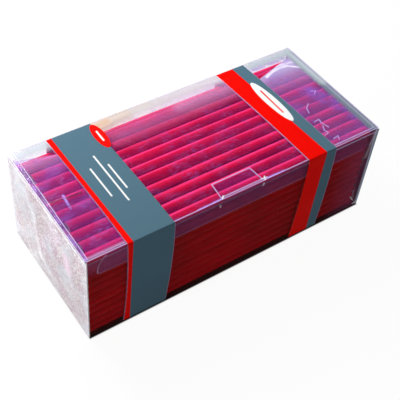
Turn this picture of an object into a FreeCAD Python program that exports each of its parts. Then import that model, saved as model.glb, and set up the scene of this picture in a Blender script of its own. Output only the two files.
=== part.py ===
# Clear folding carton of carpenter's pencils, every piece a solid of its own.
#
# The carton is folded from clear film: base, four walls, a lid hinged along the top back edge,
# a tuck flap on the lid's front edge, a dust flap on each end wall and a lock tab on the front
# wall. Two printed bands run round it. Inside, oval pencils lie lengthwise in level layers;
# the top layer has one place left free, against the back wall.
#
# The carton is sized from what it holds: its length, width and height follow from the pencils'
# sizes, their numbers and the room named for them.
#
# Frame: origin on the ground under the carton's middle, +X to the right along the pencils,
# +Y from the front wall to the back wall, +Z up. Lengths are in millimetres.

import FreeCAD, Part

import math
import os
import re

import Sketcher
from FreeCAD import Placement, Rotation, Vector

# ---------------------------------------------------------------- driving sizes

SIZES = {
    # room that the carton leaves for the pencils
    "end_room": 10,
    "front_gap": 0.4,
    "back_gap": 0.9,
    "head_room": 2.25,
    # carton
    "film": 0.5,
    "fold_gap": 0.4,
    "film_gap": 0.3,
    "end_bulge": 3,
    "glue_width": 18,
    "glue_setback": 8,
    # tuck flap, hanging from the lid's front edge behind the front wall
    "tuck_depth": 22.5,
    "tuck_gap": 0.6,
    "tuck_root_inset": 20,
    "tuck_tip_inset": 10,
    "tuck_end_bow": 3,
    "tuck_corner": 3,
    # dust flaps, under the lid
    "dust_reach": 62,
    "dust_front_gap": 2,
    "dust_root_gap": 1.5,
    "dust_shoulder": 3,
    "dust_back_root": 10,
    "dust_back_tip": 27,
    # lock tab, from the front wall's top edge through the slit in the lid's crease
    "tab_offset": -1.5,
    "tab_root_width": 45,
    "tab_tip_width": 41,
    "tab_reach": 21,
    "tab_slack": 1,
    "relief_slit_width": 0.6,
    "relief_slit_length": 5,
    "relief_slit_drop": 4,
    # printed bands: how far their edges stand from the carton's left or right end, at the back,
    # at the front top edge and at the foot
    "print_depth": 0.15,
    "print_margin": 0.6,
    "left_band_outer_back": 36.5,
    "left_band_outer_front": 38,
    "left_band_outer_foot": 35,
    "left_band_inner_back": 80.5,
    "left_band_inner_front": 82.5,
    "left_band_inner_foot": 78,
    "right_band_inner_back": 90,
    "right_band_inner_front": 84.5,
    "right_band_inner_foot": 89.5,
    "right_band_outer_back": 58,
    "right_band_outer_front": 53,
    "right_band_outer_foot": 56.5,
    "band_bow_lid": 1,
    "band_bow_front": 1.8,
    # oval patches printed over the bands on the lid
    "patch_depth": 0.1,
    "left_patch_from_back": 19,
    "left_patch_half_length": 16.5,
    "left_patch_half_width": 5.5,
    "right_patch_inset": 8,
    "right_patch_from_back": 58,
    "right_patch_half_length": 31.5,
    "right_patch_half_width": 6,
    "right_patch_turn": 2,
    # pencils
    "pencil_length": 300,
    "pencil_width": 12.1,
    "pencil_thickness": 9,
    "pencil_side_radius": 3.2,
    "lead_width": 5.2,
    "lead_thickness": 2.2,
    "pencil_gap": 0.15,
    "columns": 11,
    "layers": 11,
    "places_left_free": 1,
    "end_stagger": 2.4,
    "layer_tilt": 7,
    "top_tilt": 15,
}

# Sizes that follow from those. A pencil's oval is four arcs: the sides' are centred side_centre
# out along its width, the faces' face_centre beyond its middle, and they meet at join_y, join_z.
# The carton's height is made up to the next tenth of a millimetre.
FITTED = {
    "side_centre": "pencil_width / 2 - pencil_side_radius",
    "face_rise": "pencil_thickness / 2 - pencil_side_radius",
    "face_centre": "(side_centre^2 - face_rise^2) / (2 * face_rise)",
    "centres_apart": "sqrt(side_centre^2 + face_centre^2)",
    "join_y": "side_centre * (1 + pencil_side_radius / centres_apart)",
    "join_z": "face_centre * pencil_side_radius / centres_apart",
    "column_pitch": "pencil_width + pencil_gap",
    "layer_pitch": "pencil_thickness + 2 * face_centre * (1 - cos(layer_tilt * 1deg)) + pencil_gap",
    "carton_length": "pencil_length + end_room",
    "carton_width": "3 * film + tuck_gap + front_gap + columns * column_pitch - pencil_gap + back_gap",
    "carton_height": "ceil(10 * (film + pencil_gap + layers * layer_pitch + head_room)) / 10",
}

doc = FreeCAD.newDocument("pencil_carton")
sheet = doc.addObject("Spreadsheet::Sheet", "Sizes")
for row, alias in enumerate([*SIZES, *FITTED], start=1):
    sheet.set(f"A{row}", alias)
    sheet.set(f"B{row}", str(SIZES[alias]) if alias in SIZES else "=" + FITTED[alias])
    sheet.setAlias(f"B{row}", alias)
doc.recompute()

pieces = []


# ---------------------------------------------------------------- helpers

def size(alias):
    """The number that the sheet holds under an alias."""
    return float(sheet.get(alias))


def from_sheet(text):
    """An expression with each alias in it pointing at the sheet."""
    return re.sub(r"[a-z_]+", lambda word: "Sizes." + word[0]
                  if word[0] in SIZES or word[0] in FITTED else word[0], text)


def bind(item, **settings):
    """Bind properties, written with __ for a dot, to sheet expressions."""
    for name, text in settings.items():
        item.setExpression(name.replace("__", "."), from_sheet(text))


def value(text):
    """The number that a sheet expression gives now."""
    return float(sheet.evalExpression(from_sheet(text)))


def add_piece(item, label):
    item.Label = label
    pieces.append(item)
    return item


def plate(label, corner, sides, keep=True):
    """A flat panel: a box with its lowest corner and its sides given as expressions."""
    box = doc.addObject("Part::Box", label if keep else label + "_cutter")
    bind(box, Length=sides[0], Width=sides[1], Height=sides[2],
         Placement__Base__x=corner[0], Placement__Base__y=corner[1], Placement__Base__z=corner[2])
    return add_piece(box, label) if keep else box


def cut(label, base, tools):
    """A panel with pieces cut out of it."""
    whole = base
    for number, tool in enumerate(tools, start=1):
        step = doc.addObject("Part::Cut", f"{label}_cut_{number}")
        step.Base = whole
        step.Tool = tool
        whole = step
    return add_piece(whole, label)


def new_sketch(body, role, name, offset):
    """A sketch on one of the body's origin planes, moved along that plane's normal."""
    plane = next(item for item in body.Origin.OriginFeatures if item.Role == role)
    sketch = body.newObject("Sketcher::SketchObject", name)
    sketch.AttachmentSupport = [(plane, "")]
    sketch.MapMode = "FlatFace"
    bind(sketch, AttachmentOffset__Base__z=offset)
    return sketch


def fix_point(sketch, curve, end, place):
    """Hold one end of a curve at a place given as two expressions from the origin."""
    for direction, text in zip(("DistanceX", "DistanceY"), place):
        rule = sketch.addConstraint(Sketcher.Constraint(direction, -1, 1, curve, end, value(text)))
        sketch.setExpression(f"Constraints[{rule}]", from_sheet(text))


def outline(sketch, corners, bows=None):
    """A closed outline through corners, in expressions.

    bows gives, for the edge that leaves a corner, how far an arc stands to the right of the
    straight line; edges without a bow are straight.
    """
    bows = bows or {}
    points = [Vector(value(along), value(across), 0) for along, across in corners]
    ends = []
    for number, start in enumerate(points):
        finish = points[(number + 1) % len(points)]
        if number in bows:
            middle = (start + finish) / 2
            right = (finish - start).cross(Vector(0, 0, 1)).normalize()
            through = middle + right * value(bows[number])
            curve = sketch.addGeometry(Part.Arc(start, through, finish))
            first = 1 if (sketch.getPoint(curve, 1) - start).Length < 1e-6 else 2
        else:
            curve = sketch.addGeometry(Part.LineSegment(start, finish))
            first = 1
        ends.append((curve, first, 3 - first))
    for number, (curve, first, last) in enumerate(ends):
        after, after_first, _ = ends[(number + 1) % len(ends)]
        sketch.addConstraint(Sketcher.Constraint("Coincident", curve, last, after, after_first))
        fix_point(sketch, curve, first, corners[number])
        if number in bows:
            (x1, y1), (x2, y2) = corners[number], corners[(number + 1) % len(corners)]
            bow = bows[number]
            half = f"((({x2}) - ({x1}))^2 + (({y2}) - ({y1}))^2) / 4"
            radius = f"({half} + ({bow})^2) / (2 * abs({bow}))"
            rule = sketch.addConstraint(Sketcher.Constraint("Radius", curve, value(radius)))
            sketch.setExpression(f"Constraints[{rule}]", from_sheet(radius))


def film_body(label, role, corners, offset, depth, bows=None, reverse=False):
    """A piece of sheet cut to an outline."""
    body = doc.addObject("PartDesign::Body", label)
    sketch = new_sketch(body, role, label + "_outline", offset)
    outline(sketch, corners, bows)
    pad = body.newObject("PartDesign::Pad", label + "_pad")
    pad.Profile = sketch
    pad.Reversed = reverse
    bind(pad, Length=depth)
    sketch.Visibility = False
    return add_piece(body, label)


# ---------------------------------------------------------------- carton: base and walls

HALF_LENGTH = "carton_length / 2"
HALF_WIDTH = "carton_width / 2"
INNER_HALF_WIDTH = "(carton_width / 2 - film)"
LID_UNDERSIDE = "(carton_height - film)"
FLAP_TOP = "(carton_height - film - film_gap)"
FRONT_WALL_TOP = "(carton_height - film - film_gap)"
BACK_WALL_TOP = "(carton_height - film - fold_gap)"
END_WALL_TOP = "(carton_height - 2 * film - film_gap - fold_gap)"
CREASE_Y = "(-carton_width / 2 + film + tuck_gap)"


def base_panel():
    """The base, with a shallow seat for each printed band so that its underside is level."""
    panel = plate("base_panel", ("-carton_length / 2", "-carton_width / 2", "0"),
                  ("carton_length", "carton_width", "film"), keep=False)
    seats = []
    for side, edges in (("left", LEFT_FOOT), ("right", RIGHT_FOOT)):
        body = doc.addObject("PartDesign::Body", side + "_band_seat")
        sketch = new_sketch(body, "XY_Plane", side + "_band_seat_outline", "0")
        outline(sketch, edges)
        pad = body.newObject("PartDesign::Pad", side + "_band_seat_pad")
        pad.Profile = sketch
        bind(pad, Length="print_depth")
        seats.append(body)
    return cut("base_panel", panel, seats)


def front_wall():
    """The front wall: lower under the lock tab, with a short relief slit at each tab root."""
    wall = plate("front_wall", ("-carton_length / 2", "-carton_width / 2", "film"),
                 ("carton_length", "film", f"{FRONT_WALL_TOP} - film"), keep=False)
    tab_seat = plate("tab_seat", ("tab_offset - tab_root_width / 2", "-carton_width / 2",
                                  f"{FRONT_WALL_TOP} - film"),
                     ("tab_root_width", "film", "film"), keep=False)
    slits = [plate(f"relief_slit_{side}",
                   (f"tab_offset {sign} tab_tip_width / 2 - relief_slit_width / 2",
                    "-carton_width / 2",
                    "carton_height - relief_slit_drop - relief_slit_length"),
                   ("relief_slit_width", "film", "relief_slit_length"), keep=False)
             for side, sign in (("left", "-"), ("right", "+"))]
    return cut("front_wall", wall, [tab_seat] + slits)


def back_wall():
    return plate("back_wall", ("-carton_length / 2", INNER_HALF_WIDTH, "film"),
                 ("carton_length", "film", f"{BACK_WALL_TOP} - film"))


def end_wall(label, side):
    """An end wall that swells outwards in its middle and is straight at its folds.

    A loft through the fold at the foot, the swollen middle and the fold at the top.
    """
    body = doc.addObject("PartDesign::Body", label)
    levels = ("film", f"(film + {END_WALL_TOP}) / 2", END_WALL_TOP)
    swells = ("film / 20", "end_bulge", "film / 20")
    outer, inner = f"{side} * carton_length / 2", f"{side} * (carton_length / 2 - film)"
    sections = []
    for number, (level, swell) in enumerate(zip(levels, swells)):
        sketch = new_sketch(body, "XY_Plane", f"{label}_section_{number}", level)
        outline(sketch,
                [(outer, f"-{INNER_HALF_WIDTH}"), (outer, INNER_HALF_WIDTH),
                 (inner, INNER_HALF_WIDTH), (inner, f"-{INNER_HALF_WIDTH}")],
                {0: f"{side} * {swell}", 2: f"-{side} * {swell}"})
        sections.append(sketch)
    loft = body.newObject("PartDesign::AdditiveLoft", label + "_loft")
    loft.Profile = sections[0]
    loft.Sections = sections[1:]
    return add_piece(body, label)


def glue_flap(label, side, edge):
    """A corner flap, carried round from the front or back wall inside an end wall."""
    x = "carton_length / 2 - 2 * film" if side > 0 else "-carton_length / 2 + film"
    y = f"-{INNER_HALF_WIDTH}" if edge < 0 else f"{INNER_HALF_WIDTH} - glue_width"
    return plate(label, (x, y, "film + glue_setback"),
                 ("film", "glue_width", f"{END_WALL_TOP} - film - 2 * glue_setback"))


# ---------------------------------------------------------------- carton: lid and flaps

def lid_panel():
    return plate("lid_panel", ("-carton_length / 2", CREASE_Y, LID_UNDERSIDE),
                 ("carton_length", f"{HALF_WIDTH} - {CREASE_Y}", "film"))


def tuck_flap():
    """The tuck flap: bowed ends, rounded lower corners and a notch where the lock tab passes."""
    top = f"{LID_UNDERSIDE} - film_gap"
    notch = f"{FRONT_WALL_TOP} - film - fold_gap"
    bottom = "carton_height - tuck_depth"
    root = "(carton_length / 2 - tuck_root_inset)"
    tip = "(carton_length / 2 - tuck_tip_inset)"
    tab_left = "tab_offset - tab_root_width / 2 - tab_slack"
    tab_right = "tab_offset + tab_root_width / 2 + tab_slack"
    corners = [
        (f"-{root}", top),
        (f"-{tip}", f"{bottom} + tuck_corner"),
        (f"-{tip} + tuck_corner", bottom),
        (f"{tip} - tuck_corner", bottom),
        (tip, f"{bottom} + tuck_corner"),
        (root, top),
        (tab_right, top),
        (tab_right, notch),
        (tab_left, notch),
        (tab_left, top),
    ]
    corner_bow = "tuck_corner * (sqrt(2) - 1) / sqrt(2)"
    bows = {0: "tuck_end_bow", 1: corner_bow, 3: corner_bow, 4: "tuck_end_bow"}
    return film_body("tuck_flap", "XZ_Plane", corners, f"-{CREASE_Y}", "film", bows, reverse=True)


def dust_flap(label, side):
    """A dust flap under the lid, narrowing towards the lid's hinge so the lid clears it."""
    front = f"{CREASE_Y} + film + dust_front_gap"
    root = f"{side} * carton_length / 2"
    tip = f"{side} * (carton_length / 2 - dust_reach)"
    shoulder = f"{side} * (carton_length / 2 - dust_shoulder)"
    corners = [
        (root, f"{front} + dust_root_gap"),
        (shoulder, front),
        (tip, front),
        (tip, f"{HALF_WIDTH} - dust_back_tip"),
        (shoulder, f"{HALF_WIDTH} - dust_back_root"),
        (root, f"{HALF_WIDTH} - film - dust_root_gap"),
    ]
    if side > 0:
        corners.reverse()
    return film_body(label, "XY_Plane", corners, f"{FLAP_TOP} - film", "film")


def lock_tab():
    """The lock tab, folded from the front wall's top edge to lie under the lid."""
    root = "-carton_width / 2"
    tip = "-carton_width / 2 + tab_reach"
    corners = [
        ("tab_offset - tab_root_width / 2", root),
        ("tab_offset + tab_root_width / 2", root),
        ("tab_offset + tab_tip_width / 2", tip),
        ("tab_offset - tab_tip_width / 2", tip),
    ]
    return film_body("lock_tab", "XY_Plane", corners, f"{FLAP_TOP} - film", "film")


# ---------------------------------------------------------------- printed bands

def from_end(side, distance):
    """The place along the carton that stands this far in from its left or right end."""
    sign = "-" if side == "left" else "+"
    return f"({sign}1 * (carton_length / 2 - {distance}))"


def band_edges(side, low, high, low_y, high_y):
    """A band's four corners on one panel, from where its edges stand at two fold lines."""
    first, second = ("outer", "inner") if side == "left" else ("inner", "outer")
    return [
        (from_end(side, f"{side}_band_{first}_{low}"), low_y),
        (from_end(side, f"{side}_band_{second}_{low}"), low_y),
        (from_end(side, f"{side}_band_{second}_{high}"), high_y),
        (from_end(side, f"{side}_band_{first}_{high}"), high_y),
    ]


LEFT_FOOT = band_edges("left", "foot", "back", "-carton_width / 2", HALF_WIDTH)
RIGHT_FOOT = band_edges("right", "foot", "back", "-carton_width / 2", HALF_WIDTH)


def printed_band(side):
    """The band's four printed strips: lid, front, back and base."""
    lid = band_edges(side, "front", "back", f"{CREASE_Y} + print_margin",
                     f"{HALF_WIDTH} - print_margin")
    film_body(f"{side}_band_on_lid", "XY_Plane", lid, "carton_height", "print_depth",
              {1: "band_bow_lid", 3: "-band_bow_lid"})
    front = band_edges(side, "foot", "front", "print_margin", f"{FRONT_WALL_TOP} - print_margin")
    film_body(f"{side}_band_on_front", "XZ_Plane", front, HALF_WIDTH, "print_depth",
              {1: "band_bow_front", 3: "-band_bow_front"})
    back = band_edges(side, "back", "back", "print_margin", f"{BACK_WALL_TOP} - print_margin")
    film_body(f"{side}_band_on_back", "XZ_Plane", back, "-carton_width / 2", "print_depth",
              reverse=True)
    film_body(f"{side}_band_on_base", "XY_Plane",
              LEFT_FOOT if side == "left" else RIGHT_FOOT, "0", "print_depth")


def oval_patch(label, x, y, half_length, half_width, turn):
    """A printed oval, standing on the band, its long axis across the lid."""
    ring = doc.addObject("Part::Ellipse", label + "_edge")
    bind(ring, MajorRadius=half_length, MinorRadius=half_width,
         Placement__Base__x=x, Placement__Base__y=y,
         Placement__Base__z="carton_height + print_depth",
         Placement__Rotation__Angle=f"90 + {turn}")
    patch = doc.addObject("Part::Extrusion", label)
    patch.Base = ring
    patch.DirMode = "Custom"
    patch.Dir = Vector(0, 0, 1)
    patch.Solid = True
    bind(patch, LengthFwd="patch_depth")
    return add_piece(patch, label)


# ---------------------------------------------------------------- pencils

def pencil_casing():
    """One wooden casing: an oval of four arcs that run into each other, slotted for the lead."""
    body = doc.addObject("PartDesign::Body", "one_casing")
    sketch = new_sketch(body, "YZ_Plane", "oval", "0")
    side_bow = "pencil_width / 2 - join_y"
    face_bow = "pencil_thickness / 2 - join_z"
    outline(sketch,
            [("join_y", "-join_z"), ("join_y", "join_z"), ("-join_y", "join_z"),
             ("-join_y", "-join_z")],
            {0: side_bow, 1: face_bow, 2: side_bow, 3: face_bow})
    outline(sketch, [("-lead_width / 2", "-lead_thickness / 2"),
                     ("lead_width / 2", "-lead_thickness / 2"),
                     ("lead_width / 2", "lead_thickness / 2"),
                     ("-lead_width / 2", "lead_thickness / 2")])
    pad = body.newObject("PartDesign::Pad", "casing_pad")
    pad.Profile = sketch
    bind(pad, Length="pencil_length")
    return body


def pencil_lead():
    """One flat lead, filling the casing's slot."""
    lead = doc.addObject("Part::Box", "one_lead")
    bind(lead, Length="pencil_length", Width="lead_width", Height="lead_thickness",
         Placement__Base__y="-lead_width / 2", Placement__Base__z="-lead_thickness / 2")
    return lead


def scatter(column, layer, count):
    """An even spread of values from -1 to 1, shuffled over the columns and layers."""
    return ((3 * column + 5 * layer * layer + column * layer) % count) / (count - 1) * 2 - 1


def half_height(tilt):
    """How far an oval turned by tilt degrees reaches above its middle."""
    rise = size("face_centre") * (1 - math.cos(math.radians(tilt)))
    return size("pencil_thickness") / 2 + rise


def pencil_layers(casing, lead):
    """Every layer's casings and leads; each pencil lies on the layer below it."""
    layers, columns = int(size("layers")), int(size("columns"))
    first_y = value(f"{CREASE_Y} + film + front_gap + pencil_width / 2")
    for layer in range(layers):
        on_top = layer == layers - 1
        floor = size("film") + size("pencil_gap") + layer * size("layer_pitch")
        casings, leads = [], []
        for column in range(columns - int(size("places_left_free")) if on_top else columns):
            tilt = scatter(column, layer, 7) * size("top_tilt" if on_top else "layer_tilt")
            shift = scatter(column, layer, 5) * size("end_stagger")
            place = Placement(
                Vector(shift - size("pencil_length") / 2, first_y + column * size("column_pitch"),
                       floor + half_height(tilt)),
                Rotation(Vector(1, 0, 0), tilt))
            casings.append(casing.Shape.transformed(place.toMatrix()))
            leads.append(lead.Shape.transformed(place.toMatrix()))
        for kind, solids in (("casings", casings), ("leads", leads)):
            group = doc.addObject("Part::Feature", f"layer_{layer + 1:02d}_{kind}")
            group.Shape = Part.makeCompound(solids)
            add_piece(group, f"layer_{layer + 1:02d}_{kind}")


# ---------------------------------------------------------------- assembly

base_panel()
front_wall()
back_wall()
end_wall("left_end_wall", -1)
end_wall("right_end_wall", 1)
for side_name, side_sign in (("left", -1), ("right", 1)):
    for edge_name, edge_sign in (("front", -1), ("back", 1)):
        glue_flap(f"{side_name}_{edge_name}_glue_flap", side_sign, edge_sign)
lid_panel()
tuck_flap()
dust_flap("left_dust_flap", -1)
dust_flap("right_dust_flap", 1)
lock_tab()
for side_name in ("left", "right"):
    printed_band(side_name)
oval_patch("left_oval_patch", from_end("left", "left_band_inner_back"),
           f"{HALF_WIDTH} - left_patch_from_back",
           "left_patch_half_length", "left_patch_half_width", "0")
oval_patch("right_oval_patch", from_end("right", "(right_band_outer_back + right_patch_inset)"),
           f"{HALF_WIDTH} - right_patch_from_back",
           "right_patch_half_length", "right_patch_half_width", "right_patch_turn")
one_casing = pencil_casing()
one_lead = pencil_lead()
doc.recompute()
pencil_layers(one_casing, one_lead)
doc.recompute()

# ---------------------------------------------------------------- checks and export

for item in doc.Objects:
    if "Invalid" in item.State or "Error" in item.State:
        raise RuntimeError(f"{item.Label} did not compute: {item.State}")
for piece in pieces:
    if piece.Shape.isNull() or not piece.Shape.isValid() or not piece.Shape.Solids:
        raise RuntimeError(f"{piece.Label} has no valid solid")

os.makedirs("parts", exist_ok=True)
for piece in pieces:
    piece.Shape.exportStep(f"parts/{piece.Label}.step")
print(len(pieces), "pieces,", sum(len(piece.Shape.Solids) for piece in pieces), "solids")
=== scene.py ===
"""Clear folding carton of carpenter's pencils: materials, modelled pencils, lights and camera."""
import math

import bpy
from mathutils import Matrix, Vector


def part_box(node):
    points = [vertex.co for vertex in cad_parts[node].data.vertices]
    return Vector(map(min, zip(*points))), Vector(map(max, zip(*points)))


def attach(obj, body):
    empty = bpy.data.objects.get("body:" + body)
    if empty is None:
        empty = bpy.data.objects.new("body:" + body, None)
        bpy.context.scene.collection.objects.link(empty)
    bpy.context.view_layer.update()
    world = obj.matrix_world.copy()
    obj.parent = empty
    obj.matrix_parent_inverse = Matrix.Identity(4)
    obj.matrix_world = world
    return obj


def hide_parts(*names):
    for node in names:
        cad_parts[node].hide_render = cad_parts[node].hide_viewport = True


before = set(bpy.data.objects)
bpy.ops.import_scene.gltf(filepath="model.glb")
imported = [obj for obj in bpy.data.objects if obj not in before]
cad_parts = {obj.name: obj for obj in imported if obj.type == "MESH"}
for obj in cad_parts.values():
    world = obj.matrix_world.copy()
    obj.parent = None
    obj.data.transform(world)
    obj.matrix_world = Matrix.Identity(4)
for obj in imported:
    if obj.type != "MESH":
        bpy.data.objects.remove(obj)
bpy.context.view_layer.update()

bl_info = {
    "name": "Pencil carton",
    "version": (1, 0, 0),
    "blender": (4, 5, 0),
    "location": "3D View > Sidebar > Pencil carton",
    "description": "Builds the looks of a clear carton of carpenter's pencils",
    "category": "Object",
}

MM = 0.001
SMOOTH_ANGLE = math.radians(40)
UP, DOWN, FRONTWARDS, BACKWARDS = (0, 0, 1), (0, 0, -1), (0, -1, 0), (0, 1, 0)


# ---------------------------------------------------------------- settings

def colour_property(name, description, default):
    return bpy.props.FloatVectorProperty(
        name=name, description=description, default=default, size=3, subtype="COLOR", min=0, max=1)


def length_property(name, description, millimetres):
    return bpy.props.FloatProperty(
        name=name, description=description, default=millimetres * MM, unit="LENGTH",
        subtype="DISTANCE")


def share_property(name, description, default):
    return bpy.props.FloatProperty(
        name=name, description=description, default=default, min=0, max=1, subtype="FACTOR")


def angle_property(name, description, degrees):
    return bpy.props.FloatProperty(
        name=name, description=description, default=math.radians(degrees), subtype="ANGLE")


def power_property(name, description, watts):
    return bpy.props.FloatProperty(name=name, description=description, default=watts, unit="POWER")


def count_property(name, description, default):
    return bpy.props.IntProperty(name=name, description=description, default=default)


def places_property(name, description, millimetres):
    return bpy.props.FloatVectorProperty(
        name=name, description=description, default=[place * MM for place in millimetres],
        size=len(millimetres), unit="LENGTH")


def group_property(kind, name, description):
    return bpy.props.PointerProperty(type=kind, name=name, description=description)


class FilmSettings(bpy.types.PropertyGroup):
    """Looks of the carton's clear film."""
    tint: colour_property("Tint", "Colour of the film's haze", (0.36, 0.07, 0.86))
    haze: share_property("Haze", "How much each face of the film hides", 0.05)
    scuffs: share_property("Scuffs", "How much the fine scuffs hide", 0.2)
    rim_width: length_property("Rim width", "Width of the light line along a cut edge", 0.7)
    # painted highlights along folds, cut edges and creases, broad painted sheen, and the film's
    # fine specks
    crease_colour: colour_property(
        "Creases", "Colour of folds and cut edges", (0.78, 0.62, 0.97))
    scuff_colour: colour_property("Scuff", "Colour of the fine scuffs", (0.40, 0.14, 0.72))
    shade_colour: colour_property(
        "Shade", "Colour of dark reflections in the film", (0.035, 0.012, 0.028))
    teal_colour: colour_property(
        "Teal", "Colour of film that looks at the room's shaded side", (0.30, 0.48, 0.54))
    # painted grey reflection and shading where the film looks at a dull wall
    haze_colour: colour_property(
        "Grey haze", "Colour of bent film that looks at a dull wall", (0.26, 0.36, 0.38))
    # painted reflection of the pale room in the film
    mist_colour: colour_property(
        "Mist", "Colour of film that looks at the pale room", (0.72, 0.79, 0.81))
    glow_colour: colour_property(
        "Glow", "Colour of bent film that catches the light", (0.52, 0.27, 0.84))
    glare_colour: colour_property("Glare", "Colour of the brightest folds", (0.97, 0.96, 1.0))
    # painted soft reflection in the lacquer's colour
    rosy_colour: colour_property(
        "Rosy", "Colour of lacquer seen blurred through the film", (0.62, 0.14, 0.36))
    # a warm tint drawn in the film past the top layer
    sand_colour: colour_property(
        "Sand", "Colour of the warm smear past the top layer", (0.62, 0.37, 0.20))


class PencilSettings(bpy.types.PropertyGroup):
    """Sizes and looks of the pencils."""
    length: length_property("Length", "Length of one pencil", 300)
    width: length_property("Width", "Width of the oval", 12.1)
    thickness: length_property("Thickness", "Thickness of the oval", 9)
    lead_width: length_property("Lead width", "Width of the lead's slot", 5.2)
    lead_thickness: length_property("Lead thickness", "Thickness of the lead's slot", 2.2)
    end_bevel: length_property("End bevel", "Rounding of the cut ends", 0.25)
    columns: count_property("Columns", "Pencils side by side", 11)
    layers: count_property("Layers", "Layers of pencils", 11)
    places_left_free: count_property("Places left free", "Free places in the top layer", 1)
    stagger: length_property("Stagger", "Most that a pencil is shifted along its length", 2.4)
    layer_tilt: angle_property("Layer tilt", "Most that a pencil leans over", 7)
    top_tilt: angle_property("Top tilt", "The same in the top layer", 15)
    lacquer: colour_property("Lacquer", "Colour of the lacquer", (0.80, 0.003, 0.016))
    lacquer_dark: colour_property(
        "Thin lacquer", "Colour in its darker streaks", (0.50, 0.001, 0.006))
    dust: colour_property("Dust", "Colour of the specks in the lacquer", (0.85, 0.2, 0.3))
    # painted highlight along the top pencils' ridges
    ridge_highlight: colour_property("Rubbed lacquer", "Colour along the ridges", (1.0, 0.05, 0.26))
    wood: colour_property("Wood", "Colour of the cut ends", (0.62, 0.40, 0.24))
    pores: colour_property("Pores", "Colour of the pores in the cut ends", (0.16, 0.08, 0.04))
    graphite: colour_property("Graphite", "Colour of the leads", (0.06, 0.06, 0.065))
    graphite_pale: colour_property(
        "Pale graphite", "Colour of the leads' grain", (0.15, 0.15, 0.16))


class BandSettings(bpy.types.PropertyGroup):
    """Places along the carton and colours of the printed bands."""
    red: colour_property("Red", "Colour of the red stripes", (0.93, 0.004, 0.002))
    grey: colour_property("Grey", "Colour of the grey stripes", (0.086, 0.168, 0.224))
    white: colour_property("White", "Colour of the pale prints", (0.93, 0.93, 0.92))
    left_split: places_property(
        "Left split", "Where red meets grey at the lid's back, its front edge and the front's foot",
        (-113.5, -112, -114))
    right_split: places_property("Right split", "The same on the right band", (84, 91, 88))
    left_fold: places_property(
        "Left fold", "Where the left band's edges cross the lid's front edge", (-117, -72.5))
    right_fold: places_property("Right fold", "The same of the right band", (70.5, 102))
    fold_radius: length_property("Fold radius", "Rounding over the lid's front edge", 0.9)
    rule_width: length_property("Rule width", "Width of the plain rules", 1.6)


class StageSettings(bpy.types.PropertyGroup):
    """Camera, lamps and floor."""
    camera_place: bpy.props.FloatVectorProperty(
        name="Camera place", description="Where the camera stands", size=3, subtype="TRANSLATION",
        unit="LENGTH", default=(-0.34081, -0.42997, 0.62489))
    camera_azimuth: angle_property("Azimuth", "Turn of the view round the upright", -38.94)
    camera_elevation: angle_property("Elevation", "How far the view looks down", 47.5)
    camera_roll: angle_property("Roll", "Turn of the view round its own line", 6.31)
    lens: bpy.props.FloatProperty(
        name="Lens", description="Focal length for a 36 mm sensor", default=75.88, unit="CAMERA")
    floor: colour_property("Floor", "Colour of the floor", (0.96, 0.96, 0.96))
    floor_shade: colour_property(
        "Floor's light", "Colour of the floor as it lights the carton", (0.42, 0.42, 0.43))
    footprint_shade: colour_property(
        "Footprint", "Colour of the floor under the carton", (0.02, 0.02, 0.02))
    floor_glow: share_property("Floor glow", "Share of plain white in the floor as seen", 0.95)
    key_power: power_property("Key lamp", "Power of the lamp above and behind", 12.4)
    left_power: power_property("Left lamp", "Power of the lamp at the left end", 13.8)
    right_power: power_property("Right lamp", "Power of the lamp at the right end", 9.0)
    front_power: power_property("Front lamp", "Power of the low lamp in front", 2.5)
    back_power: power_property("Back lamp", "Power of the lamp behind", 2.5)
    ambient: bpy.props.FloatProperty(
        name="Ambient", description="Strength of the light from all round", default=0.04, min=0)


class CartonSettings(bpy.types.PropertyGroup):
    """All of the carton's settings."""
    film: group_property(FilmSettings, "Film", "Looks of the clear film")
    pencils: group_property(PencilSettings, "Pencils", "Sizes and looks of the pencils")
    bands: group_property(BandSettings, "Bands", "Places and colours of the printed bands")
    stage: group_property(StageSettings, "Stage", "Camera, lamps and floor")


def settings_of(context):
    return context.scene.pencil_carton


# ---------------------------------------------------------------- node helpers

def feed(item, values):
    """Give a node's inputs, by name or number, their values or other nodes' sockets."""
    for name, value in values.items():
        if isinstance(value, bpy.types.NodeSocket):
            item.id_data.links.new(value, item.inputs[name])
        else:
            item.inputs[name].default_value = value


def put(tree, kind, inputs=None, **settings):
    """Add a node with its inputs and settings."""
    item = tree.nodes.new("ShaderNode" + kind)
    for name, value in settings.items():
        setattr(item, name, value)
    feed(item, inputs or {})
    return item


def put_after(kind, inputs, **settings):
    """Add a node to the tree that its inputs come from."""
    sockets = (value for value in inputs.values() if isinstance(value, bpy.types.NodeSocket))
    return put(next(sockets).id_data, kind, inputs, **settings)


def maths(operation, first, *others, clamp=False):
    """The result of a Math node, or of a run of them that takes in one more value each."""
    for other in others:
        first = put_after("Math", {0: first, 1: other}, operation=operation,
                          use_clamp=clamp).outputs[0]
    return first


def times(*values):
    return maths("MULTIPLY", *values)


def vector_maths(operation, *values, output=0):
    """A result of a Vector Math node."""
    return put_after("VectorMath", dict(enumerate(values)), operation=operation).outputs[output]


def minus(first, second):
    return vector_maths("SUBTRACT", first, second)


def scaled(vector, by):
    return put_after("VectorMath", {0: vector, "Scale": by}, operation="SCALE").outputs[0]


def dot(first, second):
    return vector_maths("DOT_PRODUCT", first, second, output=1)


def parts_of(vector):
    """The three parts of a vector or colour."""
    return list(put_after("SeparateXYZ", {0: vector}).outputs)


def as_colour(colour):
    """A colour as a socket takes it, unless it is another node's socket already."""
    return colour if isinstance(colour, bpy.types.NodeSocket) else (*colour, 1)[:4]


def shaded(colour, share):
    return tuple(part * share for part in colour)


def mix(share, first, second):
    """Two colours mixed by a share."""
    return put_after("Mix", {0: share, 6: as_colour(first), 7: as_colour(second)},
                     data_type="RGBA", blend_type="MIX").outputs[2]


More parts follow.
